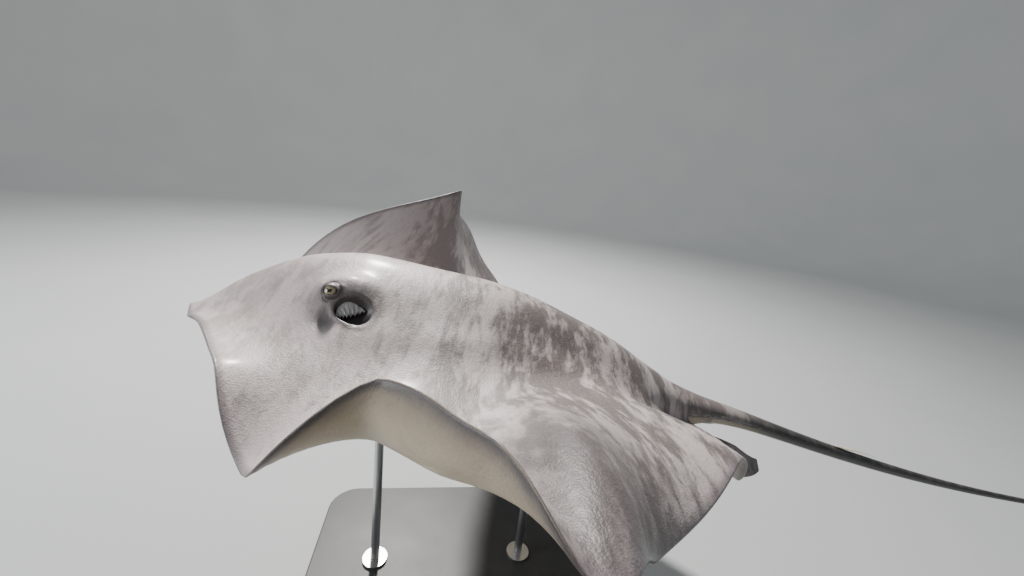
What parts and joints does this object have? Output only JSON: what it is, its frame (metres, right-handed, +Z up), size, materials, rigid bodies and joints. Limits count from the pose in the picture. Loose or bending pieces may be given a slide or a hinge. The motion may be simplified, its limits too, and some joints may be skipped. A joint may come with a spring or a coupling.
{
  "type": "whipray display model",
  "caption": "Life-size still model of a pink whipray gliding with curled pectoral fins and a long whip tail, held on a flat base by two short rods.",
  "frame": {"origin": "centre of the stand base's underside", "axes": "+Z up, the ray faces -Y and its tail trails towards +Y, its left side is at +X"},
  "size_m": [1.1498, 2.9992, 0.8154],
  "materials": {
    "skin": "smooth moist skin, mottled grey-pink above and cream below",
    "tail_skin": "smooth dark skin",
    "eye": "wet gloss",
    "spine": "satin bone",
    "stand_paint": "satin black paint",
    "stand_steel": "brushed"
  },
  "bodies": {
    "root": {"head": "skin", "trunk": "skin", "pectoral_fin_left": "skin", "pectoral_fin_right": "skin", "pelvic_fin_left": "skin", "pelvic_fin_right": "skin", "tail_base": "tail_skin", "tail_middle": "tail_skin", "tail_whip_front": "tail_skin", "tail_whip_middle": "tail_skin", "tail_whip_tip": "tail_skin", "tail_sting": "spine", "eye_left": "eye", "eye_right": "eye", "stand_base": "stand_paint", "stand_rod_front": "stand_steel", "stand_rod_rear": "stand_steel"}
  },
  "joints": []
}
